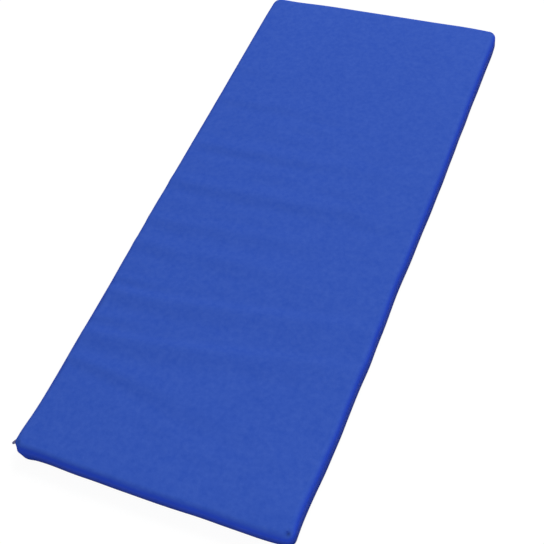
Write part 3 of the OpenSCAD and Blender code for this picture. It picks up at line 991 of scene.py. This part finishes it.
# Zip: two tapes, their rows of teeth, and the path of a row through the slider
zipForm = {
    "toothPitch": 0.0024,
    "toothReach": 0.0012,  # past the centre line
    "toothThickness": 0.0024,
    "toothGap": 0.0002,
    "tipShare": 0.55,  # width of the tips, as a share of the pitch
    "neckEnd": 0.45,  # along a tooth, as shares of its length
    "headEnd": 0.86,
    "noseShare": 0.75,  # width of the nose, as a share of the tip's
    "faceShare": 0.8,  # the outer faces of a tooth are smaller by its rounded edges
    "edgeFrom": 0.75,
    "beadWidth": 0.001,
    "beadShare": 0.4,  # half thickness of the bead, as a share of a tooth's thickness
    "beadFlat": 0.6,  # flat part of each of its sides
    "beadStraight": 50,  # points along the straight part of the bead, and along its bend
    "beadBend": 14,
    "tapeThickness": 0.0006,
    "stopLength": 0.0024,  # of the stops at both ends of the rows
    "tailRun": 0.0026,  # straight part at the slider's tail
    "bendRadius": 0.012,
    "mouthAngle": math.radians(16),
    "runGap": 0.0003,  # from the slider's mouth to the end of the rows
}
tapeLow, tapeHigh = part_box("zip_tape_upper")
sliderLow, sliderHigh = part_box("zip_slider")
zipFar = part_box("zip_bottom_stop")[1].y
tapeMid = (tapeLow.x + tapeHigh.x) / 2
beadMid = zipForm["toothReach"] + zipForm["toothGap"] + zipForm["beadWidth"] / 2
bendStart = zipFar - sliderHigh.y + zipForm["tailRun"]
bendLength = zipForm["bendRadius"] * zipForm["mouthAngle"]
bendRun = zipForm["bendRadius"] * math.sin(zipForm["mouthAngle"])
mouthRun = zipFar - sliderLow.y + zipForm["runGap"]
rowEnd = bendStart + bendLength + (mouthRun - bendStart - bendRun) / math.cos(zipForm["mouthAngle"])


def rowPoint(s, across=0.0):
    # upper row: distance from the far end and height above the centre line, at the length s along it
    a = np.clip((s - bendStart) / zipForm["bendRadius"], 0, zipForm["mouthAngle"])
    past = np.maximum(s - bendStart - bendLength, 0)
    u = np.minimum(s, bendStart) + zipForm["bendRadius"] * np.sin(a) + past * np.cos(a) - across * np.sin(a)
    v = beadMid + zipForm["bendRadius"] * (1 - np.cos(a)) + past * np.sin(a) + across * np.cos(a)
    return u, v


def onZip(u, v, out=0.0):
    # place in the frame of a point on the plane of the tapes
    return np.column_stack([np.full(np.shape(u), tapeMid) - out, zipFar - u, zipHeight + v])


def rowStations(start, end, straight, bend):
    return np.concatenate([np.linspace(start, bendStart, straight), np.linspace(bendStart, end, bend)[1:]])


tapeWeave = {
    "navy": (0.012, 0.022, 0.105, 1.0),
    "shade": (0.55, 1.2),  # painted shade between the threads and painted highlight on them
    "pitch": 0.0005,
    "relief": (0.6, 0.0002),  # strength and depth
    "roughness": 0.8,
    "sheen": 0.15,
    "gloss": 0.2,
    "cells": 8,  # points across the tape, along its straight part and along its bend
    "straight": 60,
    "bend": 16,
}


def makeTapeFinish(s):
    f = Finish("wovenTape", s["roughness"])
    turned = f.add("ShaderNodeSeparateXYZ", Vector=f.place.outputs["Object"])
    flat = f.add("ShaderNodeCombineXYZ", X=turned.outputs["Y"], Y=turned.outputs["Z"])
    weave = f.effect(plainWeave, Vector=flat.outputs[0], Pitch=s["pitch"])
    # painted shade between the threads and painted highlight on them, from the weave's height
    f.set("Base Color", f.tint(s["navy"], f.ramp(weave, low=s["shade"][0], high=s["shade"][1])))
    f.set("Normal", f.bump(weave, *s["relief"]))
    f.set("Sheen Weight", s["sheen"])
    f.set("Specular IOR Level", s["gloss"])
    return f.material


def makeTape(name, side, material, s):
    along = rowStations(0.0, rowEnd + zipForm["stopLength"], s["straight"], s["bend"])
    u, v = rowPoint(along, zipForm["beadWidth"] / 2)
    far, near = zipFar - tapeHigh.y, zipFar - tapeLow.y
    u, v = np.concatenate([[far], u, [near]]), np.concatenate([v[:1], v, v[-1:]])
    outer = tapeHigh.z - zipHeight
    shares = np.linspace(0, 1, s["cells"])
    points = np.concatenate([onZip(u, side * (v + (outer - v) * k)) for k in shares])
    quads = gridFaces(len(shares), len(u))
    mesh = meshFrom(name, points, flipped(quads) if side > 0 else quads)
    return thicken(addPiece(mesh, material), zipForm["tapeThickness"], 0)


tapeFinish = makeTapeFinish(tapeWeave)
for name, side, node in (("upperTape", 1, "zip_tape_upper"), ("lowerTape", -1, "zip_tape_lower")):
    standIn(makeTape(name, side, tapeFinish, tapeWeave), node, "zip_tape")
print("tapes made")


# Rows of small pieces along a path: teeth and stitches
def makeRowTree():
    tree = bpy.data.node_groups.new("rowAlongPath", "GeometryNodeTree")
    kinds = {"Path": "NodeSocketGeometry", "Count": "NodeSocketInt", "Unit": "NodeSocketObject",
             "Carrier": "NodeSocketObject", "Facing": "NodeSocketVector", "Finish": "NodeSocketMaterial"}
    for label, kind in kinds.items():
        tree.interface.new_socket(label, in_out="INPUT", socket_type=kind)
    tree.interface.new_socket("Row", in_out="OUTPUT", socket_type="NodeSocketGeometry")
    add, join = tree.nodes.new, tree.links.new
    given, made = add("NodeGroupInput"), add("NodeGroupOutput")
    curve, points = add("GeometryNodeMeshToCurve"), add("GeometryNodeResampleCurve")
    points.mode = "COUNT"
    unit, carrier = add("GeometryNodeObjectInfo"), add("GeometryNodeObjectInfo")
    ahead, outward = add("FunctionNodeAlignRotationToVector"), add("FunctionNodeAlignRotationToVector")
    ahead.axis, outward.axis, outward.pivot_axis = "X", "Z", "X"
    placed, real = add("GeometryNodeInstanceOnPoints"), add("GeometryNodeRealizeInstances")
    both, painted = add("GeometryNodeJoinGeometry"), add("GeometryNodeSetMaterial")
    join(given.outputs["Path"], curve.inputs["Mesh"])
    join(curve.outputs[0], points.inputs["Curve"])
    join(given.outputs["Count"], points.inputs["Count"])
    join(given.outputs["Unit"], unit.inputs["Object"])
    join(given.outputs["Carrier"], carrier.inputs["Object"])
    join(add("GeometryNodeInputTangent").outputs[0], ahead.inputs["Vector"])
    join(ahead.outputs[0], outward.inputs["Rotation"])
    join(given.outputs["Facing"], outward.inputs["Vector"])
    join(points.outputs[0], placed.inputs["Points"])
    join(unit.outputs["Geometry"], placed.inputs["Instance"])
    join(outward.outputs[0], placed.inputs["Rotation"])
    join(placed.outputs[0], real.inputs[0])
    join(real.outputs[0], both.inputs[0])
    join(carrier.outputs["Geometry"], both.inputs[0])
    join(both.outputs[0], painted.inputs["Geometry"])
    join(given.outputs["Finish"], painted.inputs["Material"])
    join(painted.outputs[0], made.inputs[0])
    return tree


rowAlongPath = makeRowTree()


def pathMesh(lines):
    mesh = bpy.data.meshes.new("path")
    starts = np.cumsum([0] + [len(line) for line in lines])
    edges = [(a + k, a + k + 1) for a, line in zip(starts, lines) for k in range(len(line) - 1)]
    mesh.from_pydata(np.concatenate(lines).tolist(), edges, [])
    return mesh


outOfWall = (-1, 0, 0)  # the way the wall with the zip faces


def rowMesh(name, lines, count, unit, material, carrier=None):
    holder = linked(pathMesh(lines))
    modifier = holder.modifiers.new("row", "NODES")
    modifier.node_group = rowAlongPath
    values = {"Count": count, "Unit": unit, "Carrier": carrier, "Facing": outOfWall, "Finish": material}
    for item in rowAlongPath.interface.items_tree:
        if item.in_out == "INPUT" and values.get(item.name) is not None:
            modifier[item.identifier] = values[item.name]
    bpy.context.view_layer.update()
    made = holder.evaluated_get(bpy.context.evaluated_depsgraph_get())
    mesh = bpy.data.meshes.new_from_object(made)
    mesh.name = name
    bpy.data.objects.remove(holder)
    return mesh


def prism(name, outline, layers):
    # closed solid through the same outline at several heights, each drawn in by its own share
    middle = outline.mean(axis=0)
    rows = [atHeight(middle + (outline - middle) * k, z) for z, k in layers]
    mesh = meshFrom(name, np.concatenate(rows), tubeFaces(len(layers), len(outline)))
    solid = bmesh.new()
    solid.from_mesh(mesh)
    bmesh.ops.recalc_face_normals(solid, faces=solid.faces)
    solid.to_mesh(mesh)
    solid.free()
    mesh.polygons.foreach_set("use_smooth", np.zeros(len(mesh.polygons), bool))
    return mesh


def toothMesh(side):
    pitch, gap, share = zipForm["toothPitch"], zipForm["toothGap"], zipForm["tipShare"]
    root, tip = ((1 - share) * pitch - gap) / 2, (share * pitch - gap) / 2
    end = zipForm["toothReach"] + beadMid
    neck, head = zipForm["neckEnd"] * end, zipForm["headEnd"] * end
    half = [(root, 0.0), (root, neck), (tip, head), (zipForm["noseShare"] * tip, end)]
    outline = np.array([(x, -side * y) for x, y in half] + [(-x, -side * y) for x, y in half[::-1]])
    top = zipForm["toothThickness"] / 2
    edge, face = zipForm["edgeFrom"] * top, zipForm["faceShare"]
    return prism("tooth", outline, [(-top, face), (-edge, 1.0), (edge, 1.0), (top, face)])


def beadMesh(side):
    along = rowStations(zipForm["stopLength"], rowEnd, zipForm["beadStraight"], zipForm["beadBend"])
    flat = zipForm["beadFlat"]
    half = np.array([(-1, -flat), (-flat, -1), (flat, -1), (1, -flat)])
    size = zipForm["beadWidth"] / 2, zipForm["beadShare"] * zipForm["toothThickness"]
    lines = []
    for across, out in np.concatenate([half, -half]) * size:
        u, v = rowPoint(along, across)
        lines.append(onZip(u, side * v, out))
    faces = tubeFaces(len(along), len(lines))
    points = np.stack(lines, axis=1).reshape(-1, 3)
    return meshFrom("bead", points, flipped(faces) if side > 0 else faces)


mouldedTeeth = {
    "navy": (0.018, 0.034, 0.150, 1.0),
    "shade": (400.0, 0.85, 1.15),  # scale, darkest and palest
    "roughness": 0.34,
    "roughRange": (900.0, 0.28, 0.42),  # scale, smoothest and roughest
}


def makeMouldedFinish(s):
    f = Finish("mouldedTeeth", s["roughness"])
    f.set("Base Color", f.tint(s["navy"], f.mottled(*s["shade"])))
    f.set("Roughness", f.mottled(*s["roughRange"]))
    return f.material


def makeTeeth(name, side, material):
    first = zipForm["stopLength"] + zipForm["toothPitch"] * (0.5 if side > 0 else 1.0)
    tip = zipForm["tipShare"] * zipForm["toothPitch"] - zipForm["toothGap"]
    count = int((rowEnd - tip / 2 - first) / zipForm["toothPitch"]) + 1
    u, v = rowPoint(first + np.arange(0, count - 0.5, 0.5) * zipForm["toothPitch"])
    tooth, bead = linked(toothMesh(side)), linked(beadMesh(side))
    mesh = rowMesh(name, [onZip(u, side * v)], count, tooth, material, bead)
    for helper in (tooth, bead):
        bpy.data.objects.remove(helper)
    print(name, "has", count, "teeth")
    return addPiece(mesh, material)


mouldedFinish = makeMouldedFinish(mouldedTeeth)
for name, side, node in (("upperTeeth", 1, "zip_teeth_upper"), ("lowerTeeth", -1, "zip_teeth_lower")):
    standIn(makeTeeth(name, side, mouldedFinish), node, "zip_teeth")

# Stitches along both hems and across the tabs
stitchForm = {
    "spacing": 0.0032,
    "length": 0.0027,
    "radius": 0.00022,
    "stand": 0.6,  # height of its middle above the cloth, in radii
    "sink": 0.00022,  # how deep the ends of a stitch go into the cloth
    "endShare": 0.6,  # how thin they are
    "sides": 5,
    "rings": 4,
    "fromFold": 0.0016,
    "blue": (0.022, 0.060, 0.340, 1.0),
    "shade": (1500.0, 0.7, 1.3),  # scale, darkest and palest
    "roughness": 0.6,
    "sheen": 0.2,
}


def stitchMesh(s):
    along = np.linspace(-0.5, 0.5, s["rings"])
    rise = s["radius"] * s["stand"] - (s["sink"] + s["radius"]) * (2 * along) ** 4
    thin = np.where(np.abs(along) < 0.5, 1.0, s["endShare"]) * s["radius"]
    angles = np.arange(s["sides"]) * 2 * math.pi / s["sides"]
    rows = [
        np.column_stack([np.full(s["sides"], x * s["length"]), r * np.cos(angles), z + r * np.sin(angles)])
        for x, z, r in zip(along, rise, thin)
    ]
    return meshFrom("stitch", np.concatenate(rows), tubeFaces(s["rings"], s["sides"]))


def makeThreadFinish(s):
    f = Finish("sewingThread", s["roughness"])
    f.set("Base Color", f.tint(s["blue"], f.mottled(*s["shade"])))
    f.set("Sheen Weight", s["sheen"])
    return f.material


def makeStitches(s):
    thread = makeThreadFinish(s)
    unit = linked(stitchMesh(s))
    ends = openHalf + s["fromFold"]
    hems = (slotHigh + s["fromFold"], slotLow - s["fromFold"])
    between = (slotLow + 0.5 * s["fromFold"], slotHigh - 0.5 * s["fromFold"])
    runs = {
        "hemStitches": [[(-halfWidth, y, z) for y in (-ends, ends)] for z in hems],
        "tabStitches": [[(-halfWidth, y, z) for z in between] for y in (-ends, ends)],
    }
    for name, lines in runs.items():
        count = int(round(math.dist(*lines[0]) / s["spacing"])) + 1
        stitches = addPiece(rowMesh(name, lines, count, unit, thread), thread)
    bpy.data.objects.remove(unit)


makeStitches(stitchForm)
print("zip rows and stitches made")

# Metal of the slider and the pull, and the moulded stops, on the frame's own solids
zipMetal = {
    "grey": (0.085, 0.088, 0.20, 1.0),
    "bright": (0.15, 0.155, 0.30, 1.0),
    "worn": (220.0, -0.4, 1.0),  # scale, least and most of the bright metal
    "roughness": 0.32,
    "roughRange": (500.0, 0.24, 0.46),  # scale, smoothest and roughest
    "softEdge": 0.00018,
    "edgeSteps": 2,
    "edgeAngle": math.radians(35),  # edges from this angle are softened
    "weldGap": 0.00002,
}


def makeMetalFinish(s):
    f = Finish("zipMetal", s["roughness"], 1.0)
    f.set("Base Color", f.mix(f.mottled(*s["worn"]), s["grey"], s["bright"]))
    f.set("Roughness", f.mottled(*s["roughRange"]))
    return f.material


def finishNode(node, material, s):
    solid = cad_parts[node]
    solid.data.materials.clear()
    solid.data.materials.append(material)
    weld = solid.modifiers.new("weld", "WELD")
    weld.merge_threshold = s["weldGap"]
    bevel = solid.modifiers.new("softEdge", "BEVEL")
    bevel.width = s["softEdge"]
    bevel.segments = s["edgeSteps"]
    bevel.limit_method = "ANGLE"
    bevel.angle_limit = s["edgeAngle"]
    bevel.use_clamp_overlap = True


metalFinish = makeMetalFinish(zipMetal)
for node, finish in (
    ("zip_slider", metalFinish), ("zip_pull", metalFinish),
    ("zip_top_stops", mouldedFinish), ("zip_bottom_stop", mouldedFinish),
):
    finishNode(node, finish, zipMetal)
print("metal finished")

# Floor, lamps and world
studio = {
    "white": (1.0, 1.0, 1.0, 1.0),
    "floorSize": 60.0,
    "floorDrop": 0.0004,  # so that floor and base don't share a plane
    "floorShade": 0.10,  # as the camera sees it
    "floorBounce": 0.28,  # as it lights the walls
    "floorGlow": 0.93,  # seen by the camera and in reflections only
    "ambient": 0.38,
    "lamps": [
        {"name": "keyLamp", "power": 800.0, "size": 5.0, "place": (1.2, 7.0, 7.5), "aim": (0, 0, 0)},
        {"name": "fillLamp", "power": 100.0, "size": 4.0, "place": (4.0, -5.0, 1.8), "aim": (0, 0, 0)},
        {"name": "endLamp", "power": 2.6, "size": 0.9, "place": (0.35, -1.55, 0.16), "aim": (0, -0.7, 0.03)},
    ],
}


def seenRays(tree):
    rays = tree.nodes.new("ShaderNodeLightPath")
    mask = mathNode(tree, "MAXIMUM", rays.outputs["Is Camera Ray"], rays.outputs["Is Glossy Ray"])
    return mathNode(tree, "MAXIMUM", mask, rays.outputs["Is Transmission Ray"])


def makeFloor(s):
    half = s["floorSize"] / 2
    mesh = bpy.data.meshes.new("floor")
    corners = [(-half, -half), (half, -half), (half, half), (-half, half)]
    mesh.from_pydata([(x, y, -s["floorDrop"]) for x, y in corners], [], [(0, 1, 2, 3)])
    linked(mesh)
    f = Finish("paleFloor", 1.0)
    seen = seenRays(f.tree)
    step = f.math("MULTIPLY", seen, s["floorShade"] - s["floorBounce"])
    f.set("Base Color", f.tint(s["white"], f.math("ADD", step, s["floorBounce"])))
    f.set("Specular IOR Level", 0.0)
    f.set("Emission Color", s["white"])
    f.set("Emission Strength", f.math("MULTIPLY", seen, s["floorGlow"]))
    mesh.materials.append(f.material)


def makeWorld(s):
    scene.world = bpy.data.worlds.new("studio")
    scene.world.use_nodes = True
    tree = scene.world.node_tree
    back = tree.nodes["Background"]
    seen = seenRays(tree)
    unseen = mathNode(tree, "SUBTRACT", 1.0, seen)
    strength = mathNode(tree, "ADD", seen, mathNode(tree, "MULTIPLY", unseen, s["ambient"]))
    tree.links.new(strength, back.inputs["Strength"])
    back.inputs["Color"].default_value = s["white"]


def makeLamp(lamp):
    light = bpy.data.lights.new(lamp["name"], "AREA")
    light.energy = lamp["power"]
    light.size = lamp["size"]
    holder = linked(light)
    holder.location = lamp["place"]
    holder.rotation_euler = (Vector(lamp["aim"]) - holder.location).to_track_quat("-Z", "Y").to_euler()
    holder.visible_camera = False


makeFloor(studio)
makeWorld(studio)
for lamp in studio["lamps"]:
    makeLamp(lamp)
print("studio set")
